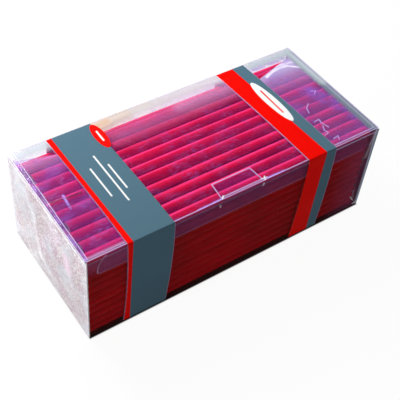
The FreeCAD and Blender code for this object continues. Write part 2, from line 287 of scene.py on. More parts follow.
def ramp(value, low, high, to_low=0.0, to_high=1.0, kind="SMOOTHSTEP"):
    """A value carried from one range to another, held at both ends."""
    return put_after("MapRange", {"Value": value, "From Min": low, "From Max": high,
                                  "To Min": to_low, "To Max": to_high},
                     interpolation_type=kind).outputs["Result"]


def between(share, low, high):
    """A number that goes evenly from low to high as a share goes from 0 to 1."""
    return ramp(share, 0.0, 1.0, low, high, "LINEAR")


def noise(vector, scale, detail=3.0, roughness=0.5, stretch=None):
    """A noise pattern from 0 to 1, stretched along the axes if asked."""
    if stretch:
        vector = vector_maths("MULTIPLY", vector, stretch)
    return put_after("TexNoise", {"Vector": vector, "Scale": scale, "Detail": detail,
                                  "Roughness": roughness}).outputs["Fac"]


def bump(height, strength, distance):
    """A normal bent by a height."""
    return put_after("Bump", {"Height": height, "Strength": strength,
                              "Distance": distance}).outputs["Normal"]


def seen_directly(tree):
    """Whether the camera looks at a surface itself, in a mirror or through film."""
    path = put(tree, "LightPath").outputs
    return maths("MAXIMUM", path["Is Camera Ray"], path["Is Glossy Ray"],
                 path["Is Transmission Ray"])


def make_effect(name, nodes_of, vectors=("Vector",), **numbers):
    """Make a node group of the masks and values that nodes_of returns.

    vectors are the names of the group's vector inputs and numbers its other inputs with their
    defaults. nodes_of takes those inputs, in this order.
    """
    tree = bpy.data.node_groups.new(name, "ShaderNodeTree")

    def socket(label, way, kind):
        return tree.interface.new_socket(label, in_out=way, socket_type="NodeSocket" + kind)

    for label in vectors:
        socket(label, "INPUT", "Vector")
    for label, default in numbers.items():
        socket(label, "INPUT", "Float").default_value = default
    given = tree.nodes.new("NodeGroupInput").outputs
    values = nodes_of(*[given[label] for label in (*vectors, *numbers)])
    for label in values:
        socket(label, "OUTPUT", "Float")
    feed(tree.nodes.new("NodeGroupOutput"), values)


def use(name, place, **inputs):
    """The outputs of a shared effect that reads some coordinates."""
    return put_after("Group", {"Vector": place, **inputs},
                     node_tree=bpy.data.node_groups[name]).outputs


def new_material(name):
    """A material, its Principled shader, and the object's coordinates as places and normals."""
    material = bpy.data.materials.new(name)
    material.use_nodes = True
    found = put(material.node_tree, "TexCoord").outputs
    shader = material.node_tree.nodes["Principled BSDF"]
    return material, shader, found["Object"], found["Normal"]


# ---------------------------------------------------------------- shared effects

def panel_edges(place, low, high, width):
    """A light line along the edges of an upright or level rectangle."""
    nearest = vector_maths("MINIMUM", minus(place, low), minus(high, place))
    inside = maths("MINIMUM", *parts_of(nearest))
    return {"Mask": ramp(inside, 0.0, width, 1.0, 0.0)}


def split_line(place, point, across, blur):
    """The far side of a line through a point, square to a direction."""
    distance = dot(minus(place, point), across)
    return {"Side": ramp(distance, times(blur, -1.0), blur)}


def short_bar(place, middle, half, blur):
    """A bar with soft ends, lying along Y: a pale rule on a print."""
    away = vector_maths("ABSOLUTE", minus(place, middle))
    outside = maths("MAXIMUM", *parts_of(minus(away, half)))
    return {"Mask": ramp(outside, times(blur, -1.0), blur, 1.0, 0.0)}


def streak(place, flat, start, run, bow, width):
    """A line from one point along a run, bowed towards a side and fading out across its width."""
    away = minus(vector_maths("MULTIPLY", place, flat), start)
    share = maths("DIVIDE", dot(away, run), dot(run, run), clamp=True)
    rise = times(share, 4.0, maths("SUBTRACT", 1.0, share))
    foot = vector_maths("ADD", scaled(run, share), scaled(bow, rise))
    distance = vector_maths("LENGTH", minus(away, foot), output=1)
    return {"Mask": ramp(distance, 0.0, width, 1.0, 0.0)}


def film_flecks(place):
    """The net of fine creases in crumpled film, and the patches of colour seen through it."""
    push = put_after("TexNoise", {"Vector": place, "Scale": 160.0, "Detail": 2.0})
    push = scaled(minus(push.outputs["Color"], (0.5, 0.5, 0.5)), 6 * MM)
    cells = {"Vector": vector_maths("ADD", place, push), "Scale": 290.0}
    rims = put_after("TexVoronoi", cells, feature="DISTANCE_TO_EDGE").outputs["Distance"]
    warm, rosy, cool = parts_of(put_after("TexVoronoi", cells).outputs["Color"])
    broad = noise(place, 32.0, 3.0, 0.6)
    return {
        "Net": times(ramp(rims, 0.04, 0.3, 1.0, 0.0), ramp(broad, 0.36, 0.56, 0.2, 1.0)),
        "Warm": times(warm, ramp(broad, 0.4, 0.6)),
        "Rosy": times(maths("POWER", rosy, 3.0), ramp(broad, 0.5, 0.66, 0.3, 1.0)),
        "Cool": times(cool, ramp(broad, 0.58, 0.4))}


def film_marks(place):
    """Haze, fine scuffs and soft waves in clear film."""
    cloud = noise(place, 22.0, 4.0, 0.55)
    drift = noise(place, 9.0, 2.0, 0.5, (1.0, 2.2, 1.0))
    fine = noise(place, 520.0, 3.0, 0.7, (0.4, 1.0, 1.0))
    patch = noise(place, 55.0, 3.0, 0.6)
    dots = noise(place, 760.0, 2.0, 0.6)
    waves = noise(place, 14.0, 2.0, 0.4, (1.0, 1.6, 1.0))
    return {
        "Haze": times(ramp(cloud, 0.35, 0.75), ramp(drift, 0.3, 0.7)),
        "Scuffs": times(ramp(fine, 0.46, 0.62), ramp(patch, 0.44, 0.6)),
        "Specks": times(ramp(dots, 0.62, 0.76), ramp(patch, 0.42, 0.6)),
        "Uneven": ramp(noise(place, 75.0, 3.0, 0.6), 0.36, 0.62, 0.15, 1.0),
        "Height": maths("ADD", waves, times(fine, 0.02))}


def lacquer_coat(place, shade):
    """Lacquer that lies unevenly along a pencil, with dust and dents in it."""
    offset = put_after("CombineXYZ", {0: shade}).outputs[0]
    moved = vector_maths("ADD", place, offset)
    streaks = noise(moved, 300.0, 3.0, 0.55, (0.035, 1.0, 1.0))
    pools = noise(moved, 26.0, 2.0, 0.5, (1.0, 3.0, 3.0))
    specks = noise(moved, 700.0, 2.0, 0.6, (0.3, 1.0, 1.0))
    dents = noise(moved, 70.0, 2.0, 0.5)
    return {
        "Thin": maths("ADD", times(ramp(streaks, 0.35, 0.75), 0.5),
                      times(ramp(pools, 0.35, 0.7), 0.5), clamp=True),
        "Dust": ramp(specks, 0.64, 0.78),
        "Height": maths("ADD", times(streaks, 0.5), times(dents, 0.5))}


def end_grain(place, shade):
    """Cut wood across the grain: rings, pores and saw marks."""
    offset = put_after("CombineXYZ", {1: shade, 2: shade}).outputs[0]
    moved = vector_maths("ADD", place, offset)
    rings = put_after("TexWave", {"Vector": moved, "Scale": 190.0, "Distortion": 2.2,
                                  "Detail": 2.0, "Detail Scale": 2.0},
                      wave_type="BANDS", bands_direction="Z").outputs["Fac"]
    pores = noise(moved, 2400.0, 2.0, 0.6)
    return {"Rings": rings, "Pores": ramp(pores, 0.55, 0.72), "Height": maths("ADD", rings, pores)}


def print_wear(place):
    """Ink on film: a faint mottle, small scratches and soft waves."""
    fine = noise(place, 420.0, 2.0, 0.6, (1.0, 0.18, 0.18))
    waves = noise(place, 16.0, 2.0, 0.4)
    return {"Mottle": noise(place, 45.0, 4.0, 0.6), "Scratches": ramp(fine, 0.66, 0.8),
            "Height": maths("ADD", waves, times(fine, 0.03))}


def make_shared_effects():
    make_effect("Panel edges", panel_edges, ("Vector", "Low", "High"), Width=1 * MM)
    make_effect("Split line", split_line, ("Vector", "Point", "Across"), Blur=0.12 * MM)
    make_effect("Short bar", short_bar, ("Vector", "Middle", "Half"), Blur=0.3 * MM)
    make_effect("Streak", streak, ("Vector", "Flat", "Start", "Run", "Bow"), Width=0.5 * MM)
    make_effect("Film flecks", film_flecks)
    make_effect("Film marks", film_marks)
    make_effect("Lacquer coat", lacquer_coat, Shade=0.5)
    make_effect("End grain", end_grain, Shade=0.5)
    make_effect("Print wear", print_wear)


# ---------------------------------------------------------------- object helpers

def deselect_all():
    if bpy.context.object and bpy.context.object.mode != "OBJECT":
        bpy.ops.object.mode_set(mode="OBJECT")
    bpy.ops.object.select_all(action="DESELECT")


def shape_mesh(size, place=(0, 0, 0)):
    """Resize and then move the active object's whole mesh."""
    bpy.ops.object.mode_set(mode="EDIT")
    bpy.ops.mesh.select_all(action="SELECT")
    bpy.ops.transform.resize(value=size)
    bpy.ops.transform.translate(value=place)
    bpy.ops.mesh.select_all(action="DESELECT")
    bpy.ops.object.mode_set(mode="OBJECT")


def apply_modifier(piece, name, kind, **settings):
    """Add a modifier to the active object, set it and apply it."""
    modifier = piece.modifiers.new(name, kind)
    for key, value in settings.items():
        setattr(modifier, key, value)
    bpy.ops.object.modifier_apply(modifier=modifier.name)


def dress(node, material):
    """Give a CAD node a material in all of its slots, adding one if it has none."""
    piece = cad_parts[node]
    if not piece.material_slots:
        piece.data.materials.append(material)
    for place in piece.material_slots:
        place.material = material


# ---------------------------------------------------------------- clear film

LEVEL, FACING_Y, FACING_X = (1, 1, 0), (1, 0, 1), (0, 1, 1)
FAR = 1.0                   # well past every side of the carton
HAZIEST = 1.9               # the haziest places hide this many times as much as the clearest
SPECKS = 0.8                # how much the specks hide, against the scuffs
SLANT_POWER = 3.0           # how late the veil sets in as the film turns away

# the kinds of mark, from the one that lies under the others to the brightest
KINDS = ("scuff", "rosy", "shade", "teal", "haze", "mist", "sand", "glow", "crease", "glare")

# what crumpled film shows: the effect's output, how much of it shows, and its colour
FLECKS = (("Warm", 0.5, (0.84, 0.72, 0.60)), ("Rosy", 0.65, (0.76, 0.40, 0.70)),
          ("Cool", 0.75, (0.60, 0.69, 0.80)), ("Net", 0.68, (0.42, 0.26, 0.34)))


def mark(start, end, width, share, kind="crease", bow=(0, 0)):
    """A line on a panel: where it runs, how wide and strong it is, its kind and its bow.

    Places are millimetres along the two directions of the panel's plane.
    """
    return dict(start=start, end=end, width=width, share=share, kind=kind, bow=bow)


def crinkle(points, width, share):
    """Painted highlights along creases that run as a broken line, one mark between each point and
    the next.
    """
    return [mark(first, second, width, share) for first, second in zip(points, points[1:])]


LID_MARKS = [
    # a broad painted sheen over the back of the lid
    mark((20, 60), (64, 60), 30, 0.14),
    # painted highlights along the fold at the left end, with the second line where the film turns
    # down
    mark((-154.7, -67), (-154.7, 68.6), 0.6, 0.8, "glare"),
    mark((-150, 66), (-151.8, -66), 0.6, 0.7),
    mark((-152.6, 64), (-153.2, -66), 1.8, 0.5, "glow"),
    # painted highlights along the fold at the right end, and painted reflections past the pencils'
    # ends
    mark((154.4, -67), (154.4, 68.6), 0.8, 0.6),
    mark((151.4, -66), (150.8, 60), 0.6, 0.5),
    mark((151, -64), (150, 64), 7, 0.6, "haze"),
    mark((151, 10), (149, 64), 8, 0.4, "mist"),
    # painted highlights along the front fold, brighter round the lock tab's slit
    mark((-154, -67.5), (154, -67.5), 0.7, 0.6),
    mark((-153, -65.3), (-119, -65.3), 2.4, 0.22),
    mark((103, -65.2), (150, -65.2), 0.7, 0.6),
    mark((-48, -67.2), (-25, -66.8), 1.6, 0.9, "glow"),
    mark((23, -66.8), (46, -67.2), 1.5, 0.9, "glow"),
    mark((-23.5, -65.6), (22.5, -65.6), 0.8, 0.6),
    mark((-23.6, -67.2), (-21, -64.8), 1.1, 0.8, "glare"),
    mark((21.5, -67.5), (23.4, -64), 1.1, 0.8, "glare"),
    mark((19, -65.2), (25, -66), 0.9, 0.6, "glare"),
    # painted highlight along the back edge, painted reflections of the pale room and of a dull
    # wall, and warm tints past the top layer
    mark((-154, 68.6), (154, 68.6), 0.6, 0.2),
    mark((-154, 65), (154, 65), 12, 0.45, "mist"),
    mark((36, 66), (66, 62), 9, 0.5, "mist"),
    mark((-150, 63), (-120, 63), 8, 0.14, "haze"),
    mark((104, 63), (150, 62), 9, 0.3, "haze"),
    mark((-30, 64), (62, 64), 9, 0.2, "sand"),
    mark((-76, 61), (-60, 64), 13, 0.8, "sand"),
    mark((-75, 62), (-40, 65), 13, 0.5, "sand"),
    mark((-72, 63), (-15, 66), 9, 0.25, "sand"),
    # soft reflections over the rear pencils
    mark((-60, 44), (64, 46), 20, 0.26, "rosy"),
    mark((10, 50), (64, 50), 14, 0.13),
    mark((70, 57), (140, 57), 5, 0.3, "scuff"),
    # painted highlights along the rims of the printed bands
    mark((-118.9, 68.4), (-117.4, -67.3), 0.5, 0.25, bow=(0.95, 0)),
    mark((64.6, 68.4), (70.1, -67.3), 0.5, 0.45, bow=(0.95, 0)),
    mark((97.4, 68.4), (102.4, -67.3), 0.5, 0.3, bow=(1, 0)),
    # a painted highlight across one of the creases pressed into the lid, and painted shade along a
    # groove between the pencils below
    mark((-136.4, 3), (-137.8, -13), 1.8, 0.8, "glow"),
    mark((-149, 1.2), (-121, -1.2), 1.2, 0.5, "shade"),
]

FRONT_MARKS = [
    # painted highlights along the folds at the two ends, and painted reflections and shade on the
    # film that turns round them
    mark((-154.6, 0.5), (-154.6, 103), 1.0, 1.0, "glare"),
    mark((151.2, 103), (154, 3), 0.9, 0.8),
    mark((153, 102), (147.5, 86), 0.8, 0.8),
    mark((153.3, 2), (153.3, 102), 3.4, 1.0, "teal"),
    mark((151, 101), (147.5, 70), 3.0, 0.3, "mist"),
    mark((151, 0), (148.5, 92), 5, 0.55, "shade"),
    mark((154, 4), (149.5, 2.5), 1.6, 1.0, "glare"),
    # painted highlights along the top edge and the lock tab's slit
    mark((104, 101), (152, 101), 1.2, 0.8),
    mark((-154, 100.6), (154, 100.6), 0.7, 0.2),
    mark((-26, 98.2), (-26, 96), 1.0, 0.7, "glare"),
    mark((20, 101.3), (19, 99), 1.0, 0.7, "glare"),
    # soft reflections
    mark((150, 100), (145, 5), 44, 0.13, "rosy"),
    mark((-154, 97), (-119, 95), 16, 0.2, "rosy"),
    # painted highlights along the rims of the printed bands
    mark((-120.4, 0.6), (-117.4, 102.6), 0.6, 0.3, bow=(1.8, 0)),
    mark((-76.6, 0.6), (-72.1, 102.6), 0.6, 0.5, bow=(1.75, 0)),
    mark((98.9, 0.6), (102.4, 102.6), 0.6, 0.65, bow=(1.75, 0)),
]

LEFT_END_MARKS = [
    # painted glare along the top fold, a painted highlight, painted reflections and grey painted
    # shading along the back edge
    mark((-66, 101), (66, 100), 2.5, 0.3, "glare"),
    mark((20, 76), (12, 26), 7, 0.3, "mist"),
    mark((-20, 90), (0, 50), 14, 0.12, "glow"),
    mark((67, 100), (66, 40), 5, 0.35, "haze"),
    mark((-37, 76), (-40, 64), 9, 0.35, "rosy"),
]

LEFT_FLAP_MARKS = [
    # a broad painted sheen at the back, and scuffs
    mark((-152, 60), (-122, 60), 30, 0.2),
    mark((-150, 20), (-120, 40), 12, 0.15, "scuff"),
    mark((-146, -20), (-122, -10), 9, 0.15, "scuff"),
]

RIGHT_FLAP_MARKS = [
    # painted highlights along an arc of bent film at the back, and its painted glints
    mark((108, 43), (136, 47), 2.6, 1.0, "glare", (0, 2.5)),
    mark((136, 47), (147, 38), 2.0, 0.95, "glare"),
    mark((116, 53), (146, 49), 2.0, 0.8, "glare"),
    mark((128, 58), (150, 61), 1.6, 0.7, "glare", (0, 1)),
    mark((150, 60), (153.5, 44), 1.8, 0.95, "glare"),
    mark((153.5, 30), (151.5, 6), 1.5, 0.8, "glare", (-1.5, 0)),
    # soft reflections
    mark((100, 50), (150, 50), 16, 0.3, "mist"),
    mark((98, 62), (152, 58), 50, 0.4),
    mark((152, 60), (150, -60), 6, 0.12, "mist"),
    mark((130, 10), (148, -40), 12, 0.35, "scuff"),
    # painted highlights along small bent creases over the pencils' ends
    *crinkle(((119, -8), (113.3, -12), (111, -18.7)), 0.65, 0.75),
    *crinkle(((107.3, -31), (113.3, -30), (112.4, -35.3), (114.6, -43)), 0.65, 0.75),
    *crinkle(((111, -39), (108.5, -44), (109.4, -49), (105, -50)), 0.65, 0.75),
    *crinkle(((108.5, -57.4), (114.6, -56.4), (112.5, -61)), 0.65, 0.75),
    *crinkle(((132.3, 4.8), (137.3, 3.2), (132.7, -0.3)), 0.65, 0.75),
]

TUCK_MARKS = [
    # painted highlight along the flap's lower edge
    mark((-142, 81.8), (142, 81.8), 0.6, 0.4),
    # painted highlights round the rounded corners
    mark((-136, 101), (-144.3, 84), 0.55, 1.0, "glare", (-2.3, 1.2)),
    mark((-144.5, 85), (-142.5, 82), 0.55, 0.6, "glare", (-0.6, -0.6)),
    mark((134.3, 103), (144.3, 84), 0.7, 0.2, bow=(2.5, 1.3)),
]

# painted highlights along the lock tab's cut edges
TAB_MARKS = crinkle(((-23.6, -66), (-21.7, -48.4), (18.7, -48.4), (20.6, -66)), 0.9, 0.8)


def flap_outline(sign):
    """Painted highlights along the cut edges of a dust flap, seen through the lid; sign is its
    end's.
    """
    outline = ((152, -65.4), (93, -65.4), (93, 42), (152, 59))
    return crinkle([(sign * x, y) for x, y in outline], 0.45, 0.35)


def on_panel(flat, pair):
    """Millimetres along the two directions of a panel's plane, as a vector."""
    along = iter(pair)
    return Vector([next(along) * MM if keep else 0 for keep in flat])


def streak_mask(place, flat, line):
    """The mask of one mark, laid in a panel's plane."""
    start, end, bow = (on_panel(flat, line[key]) for key in ("start", "end", "bow"))
    return use("Streak", place, Flat=flat, Start=start, Run=end - start, Bow=bow,
               Width=line["width"] * MM)["Mask"]


def panel_rim(node, flat):
    """The low and high corners of a panel's rim, far apart through its thickness."""
    low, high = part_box(node)
    return (tuple(part if keep else -FAR for part, keep in zip(low, flat)),
            tuple(part if keep else FAR for part, keep in zip(high, flat)))


def film_material(film, node, flat, haze=1.0, tint=None, rim=0.0, marks=(), veil=0.0, scuffs=0.0,
                  flecks=0.0, inner=None, shine=0.5):
    """Clear film with haze, scuffs, and painted highlights, reflections and shade, for one panel.

    flat keeps the two directions of the panel's plane. haze scales how much each face hides, and
    veil adds to it where the film is seen at a slant. rim is how much painted highlight the cut
    edges show, scuffs the share of the full scuffs, and flecks how far the film is crumpled. inner
    is a direction and the colour of painted shade on the side that looks away from it. Each mark is
    drawn in its kind's colour, over the kinds before it in KINDS.
    """
    material, shader, place, normal = new_material(node.replace("_", " ") + " film")
    found = use("Film marks", place)
    least = film.haze * haze
    cover = between(found["Haze"], least, least * HAZIEST)
    if veil:
        slant = put(material.node_tree, "LayerWeight", {"Blend": 0.5}).outputs["Facing"]
        slant = maths("POWER", slant, SLANT_POWER)
        cover = maths("ADD", cover, times(slant, veil))
    drawn = {}

    def draw(kind, strength):
        drawn[kind] = maths("MAXIMUM", drawn[kind], strength) if kind in drawn else strength

    if scuffs:
        draw("scuff", times(found["Scuffs"], film.scuffs * scuffs))
        draw("crease", times(found["Specks"], film.scuffs * scuffs * SPECKS))
    if rim:
        low, high = panel_rim(node, flat)
        edge = use("Panel edges", place, Low=low, High=high, Width=film.rim_width)["Mask"]
        uneven = ramp(noise(place, 35.0, 2.0), 0.25, 0.7, 0.45, 1.0)
        draw("crease", times(edge, uneven, rim))
    for line in marks:
        strength = times(streak_mask(place, flat, line), line["share"])
        if line["kind"] in ("glow", "scuff"):
            strength = times(strength, found["Uneven"])
        draw(line["kind"], strength)
    colour = tint or tuple(film.tint)
    if flecks:
        spots = use("Film flecks", place)
        for part, share, shade in FLECKS:
            colour = mix(times(spots[part], share * flecks), colour, shade)
    if inner:
        direction, inner_shade = inner
        colour = mix(ramp(dot(normal, direction), -0.1, 0.1), inner_shade, colour)
    for kind in KINDS:
        if kind in drawn:
            total = maths("ADD", cover, drawn[kind], clamp=True)
            colour = mix(maths("DIVIDE", drawn[kind], total), colour,
                         getattr(film, f"{kind}_colour"))
            cover = total
    feed(shader, {"Base Color": as_colour(colour), "Alpha": cover, "IOR": 1.5,
                  "Roughness": between(found["Scuffs"], 0.1, 0.45),
                  "Specular IOR Level": shine,
                  "Normal": bump(found["Height"], 0.35, 2 * MM)})
    return material


class CARTON_OT_film(bpy.types.Operator):
    """Dress the carton's clear panels, flaps and lock tab"""
    bl_idname = "carton.film"
    bl_label = "Clear film"

    def execute(self, context):
        film = settings_of(context).film

        def dress_film(node, flat, **looks):
            dress(node, film_material(film, node, flat, **looks))

        dress_film("lid_panel", LEVEL, haze=0.37, veil=0.3, scuffs=0.45, shine=0.25,
                   marks=LID_MARKS)
        # the front wall's dark haze is painted shade over the front of the stack, partly standing
        # for the light that the film loses at a slant
        dress_film("front_wall", FACING_Y, haze=2.4, tint=(0.17, 0.035, 0.03), shine=0.0,
                   marks=FRONT_MARKS)
        dress_film("back_wall", FACING_Y, haze=0.7, tint=(0.6, 0.66, 0.68), rim=0.3, shine=0.2)
        # the base's dark haze is painted shade under the carton
        dress_film("base_panel", LEVEL, haze=1.5, tint=(0.1, 0.07, 0.09), shine=0.05)
        dress_film("left_end_wall", FACING_X, haze=12, tint=(0.98, 0.98, 1.0), rim=0.4,
                   flecks=1.0, marks=LEFT_END_MARKS)
        # the inner side's dark colour is painted shade, and the mark a painted reflection of the
        # pale room
        dress_film("right_end_wall", FACING_X, haze=14, tint=(0.93, 0.94, 0.98), flecks=0.45,
                   inner=((1, 0, 0), (0.17, 0.24, 0.25)), shine=0.1,
                   marks=[mark((-66, 102), (66, 102), 4, 0.4, "mist")])
        for corner in ("left_front", "left_back", "right_front", "right_back"):
            dress_film(f"{corner}_glue_flap", FACING_X, rim=0.5)
        dress_film("left_dust_flap", LEVEL, haze=1.8, tint=(0.42, 0.07, 0.56), veil=0.2,
                   scuffs=0.4, shine=0.2, marks=flap_outline(-1) + LEFT_FLAP_MARKS)
        dress_film("right_dust_flap", LEVEL, haze=2.1, tint=(0.54, 0.25, 0.95), veil=0.2,
                   scuffs=0.4, shine=0.2, marks=flap_outline(1) + RIGHT_FLAP_MARKS)
        dress_film("tuck_flap", FACING_Y, haze=3.9, tint=(0.52, 0.14, 0.5), shine=0.0,
                   marks=TUCK_MARKS)
        dress_film("lock_tab", LEVEL, haze=0.4, marks=TAB_MARKS)
        return {"FINISHED"}


# ---------------------------------------------------------------- pencils

TOP_LAYER_HEIGHT = (90 * MM, 95 * MM)      # above this, a pencil takes the top layer's full painted shade and painted highlight
RIDGE = (0, 0.42, 0.907)                   # the way that the ridges with the painted highlight face
OVAL_SIDES, BEVEL_SEGMENTS = 40, 2
SLOT_OVERRUN = 1.2                         # the slot's cutter, against the pencil's length
TILTS, SHIFTS, SHADES = 7, 5, 9            # how many different leans, shifts and shades there are


def pencil_shade(material):
    """How dark a pencil is, from 0 to 1."""
    return put(material.node_tree, "Attribute", attribute_name="shade").outputs["Fac"]


def lacquer_material(pencils):
    material, shader, place, normal = new_material("red lacquer")
    shade = pencil_shade(material)
    on_top = ramp(parts_of(place)[2], *TOP_LAYER_HEIGHT)
    coat = use("Lacquer coat", place, Shade=shade)
    colour = mix(coat["Thin"], pencils.lacquer, pencils.lacquer_dark)
    colour = mix(between(shade, 0.0, 0.35), colour, pencils.lacquer_dark)
    colour = mix(times(coat["Dust"], 0.12), colour, pencils.dust)
    # painted shade darkens the flanks and the grooves between the pencils, most of all in the top
    # layer
    flank = ramp(parts_of(normal)[2], 0.75, 0.0)
    painted_shade = times(between(shade, 1.0, 0.65), between(on_top, 0.2, 1.0))
    colour = mix(times(flank, painted_shade), colour, shaded(pencils.lacquer_dark, 0.35))
    # a painted highlight makes the top pencils' ridges paler
    ridge_highlight = ramp(dot(normal, RIDGE), 0.93, 1.0)
    uneven = ramp(coat["Thin"], 0.1, 0.8, 1.0, 0.35, "LINEAR")
    colour = mix(times(ridge_highlight, on_top, uneven, 0.6), colour, pencils.ridge_highlight)
    feed(shader, {"Base Color": colour, "Roughness": between(coat["Thin"], 0.36, 0.5),
                  "Specular IOR Level": 0.02,
                  "Normal": bump(coat["Height"], 0.12, 0.3 * MM)})
    return material


def wood_material(pencils):
    material, shader, place, _ = new_material("cut wood")
    grain = use("End grain", place, Shade=pencil_shade(material))
    colour = mix(times(grain["Rings"], 0.6), pencils.wood, shaded(pencils.wood, 0.6))
    colour = mix(times(grain["Pores"], 0.5), colour, pencils.pores)
    feed(shader, {"Base Color": colour, "Roughness": between(grain["Rings"], 0.6, 0.78),
                  "Normal": bump(grain["Height"], 0.4, 0.2 * MM)})
    return material


def graphite_material(pencils):
    material, shader, place, _ = new_material("graphite")
    grain = noise(place, 1500.0, 3.0, 0.6)
    feed(shader, {"Base Color": mix(grain, pencils.graphite, pencils.graphite_pale),
                  "Roughness": ramp(grain, 0.3, 0.7, 0.38, 0.6), "Metallic": 0.35,
                  "Normal": bump(grain, 0.3, 0.2 * MM)})
    return material


def is_end(polygon):
    """Whether a face of a pencil looks along it."""
    return abs(polygon.normal.x) > 0.9


def model_one_pencil(pencils, lacquer, wood):
    """One casing lying along X about the origin: an oval bar with rounded ends and a lead slot."""
    deselect_all()
    bpy.ops.mesh.primitive_cylinder_add(vertices=OVAL_SIDES, radius=1, depth=pencils.length,
                                        rotation=(0, math.radians(90), 0))
    pencil = bpy.context.object
    bpy.ops.object.transform_apply(rotation=True)
    shape_mesh((1, pencils.width / 2, pencils.thickness / 2))
    for polygon in pencil.data.polygons:
        polygon.select = is_end(polygon)
    bpy.ops.object.mode_set(mode="EDIT")
    bpy.ops.mesh.select_mode(type="FACE")
    bpy.ops.mesh.region_to_loop()
    bpy.ops.mesh.bevel(offset=pencils.end_bevel, segments=BEVEL_SEGMENTS, affect="EDGES")
    bpy.ops.object.mode_set(mode="OBJECT")

    deselect_all()
    bpy.ops.mesh.primitive_cube_add(size=1)
    slot = bpy.context.object
    shape_mesh((pencils.length * SLOT_OVERRUN, pencils.lead_width, pencils.lead_thickness))

    deselect_all()
    bpy.context.view_layer.objects.active = pencil
    pencil.select_set(True)
    apply_modifier(pencil, "lead slot", "BOOLEAN", operation="DIFFERENCE", solver="EXACT",
                   object=slot)
    bpy.data.objects.remove(slot)
    bpy.ops.object.shade_smooth_by_angle(angle=SMOOTH_ANGLE)
    pencil.data.materials.clear()
    pencil.data.materials.append(lacquer)
    pencil.data.materials.append(wood)
    reach = 1.01 / 2        # of the slot's sizes, so that its walls count as inside
    for polygon in pencil.data.polygons:
        in_slot = (abs(polygon.center.y) < pencils.lead_width * reach
                   and abs(polygon.center.z) < pencils.lead_thickness * reach)
        polygon.material_index = int(is_end(polygon) or in_slot)
    return pencil


def scatter(column, layer, count):
    """One of count even values from -1 to 1, shuffled over the columns and layers."""
    return ((3 * column + 5 * layer * layer + column * layer) % count) / (count - 1) * 2 - 1


class CARTON_OT_pencils(bpy.types.Operator):
    """Model one pencil casing, lay its copies in layers and dress the leads"""
    bl_idname = "carton.pencils"
    bl_label = "Pencils"

    def execute(self, context):
        pencils = settings_of(context).pencils
        one = model_one_pencil(pencils, lacquer_material(pencils), wood_material(pencils))
        graphite = graphite_material(pencils)
        for layer in range(pencils.layers):
            self.lay(context, pencils, one, layer)
            dress(f"layer_{layer + 1:02d}_leads", graphite)
        bpy.data.objects.remove(one)
        return {"FINISHED"}

    def lay(self, context, pencils, one, layer):
        """Copy the pencil along one layer and join the copies into one piece."""
        node = f"layer_{layer + 1:02d}_casings"
        on_top = layer == pencils.layers - 1
        count = pencils.columns - (pencils.places_left_free if on_top else 0)
        most = pencils.top_tilt if on_top else pencils.layer_tilt
        low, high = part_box(node)
        pitch = (high[1] - low[1] - pencils.width) / (count - 1)
        copies = []
        for column in range(count):
            tilt = scatter(column, layer, TILTS) * most
            shift = scatter(column, layer, SHIFTS) * pencils.stagger
            y = low[1] + pencils.width / 2 + column * pitch
            copy = one.copy()
            copy.data = one.data.copy()
            context.collection.objects.link(copy)
            copy.data.transform(Matrix.Translation((shift, y, 0))
                                @ Matrix.Rotation(tilt, 4, "X"))
            lowest = min(vertex.co.z for vertex in copy.data.vertices)
            copy.data.transform(Matrix.Translation((0, 0, low[2] - lowest)))
            shade = copy.data.attributes.new("shade", "FLOAT", "POINT")
            value = (scatter(column + 3, layer + 2, SHADES) + 1) / 2
            shade.data.foreach_set("value", [value] * len(copy.data.vertices))
            copies.append(copy)
        deselect_all()
        for copy in copies:
            copy.select_set(True)
        piece = context.view_layer.objects.active = copies[0]
        bpy.ops.object.join()
        piece.name = f"layer_{layer + 1:02d}_pencils"
        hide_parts(node)
        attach(piece, "carton")


# ---------------------------------------------------------------- printed bands

# the plain rules on the left band's lid strip: middle along and across the carton, half length
RULES = ((-86, 0, 16), (-92, 1, 30), (-102, 0.5, 18.5))
UNDERSIDE, BACK_UNDERSIDE = 0.03 * MM, 0.07 * MM      # how deep the white inner side reaches
RULE_DEPTH = 10 * MM        # a rule's mask reaches well through the print
FOLD_STEPS = 6              # facets round the lid's front edge


def band_material(name, bands, split, inside, rules=()):
    """A printed strip: red on one side of a split line, grey on the other, white underneath.

    split is two points of the line and the way that the strip faces; inside is a point and a
    direction past which the white begins.
    """
    material, shader, place, _ = new_material(name)
    wear = use("Print wear", place)
    first, second, facing = split
    across = (Vector(second) - Vector(first)).cross(Vector(facing)).normalized()
    side = use("Split line", place, Point=first, Across=across)["Side"]
    colour = mix(side, bands.red, bands.grey)
    deeper = mix(side, shaded(bands.red, 0.8), shaded(bands.grey, 0.85))
    colour = mix(times(wear["Mottle"], 0.3), colour, deeper)
    point, inwards = inside
    depth = dot(minus(place, point), inwards)
    colour = mix(ramp(depth, -0.01 * MM, 0.01 * MM), colour, bands.white)
    for middle, half in rules:
        bar = use("Short bar", place, Middle=middle, Half=half)["Mask"]
        colour = mix(times(bar, 0.9), colour, bands.white)
    colour = mix(times(wear["Scratches"], 0.02), colour, bands.white)
    feed(shader, {"Base Color": colour, "Specular IOR Level": 0.01,
                  "Roughness": ramp(wear["Mottle"], 0.3, 0.7, 0.34, 0.48),
                  "Normal": bump(wear["Height"], 0.25, 1.5 * MM)})
    return material


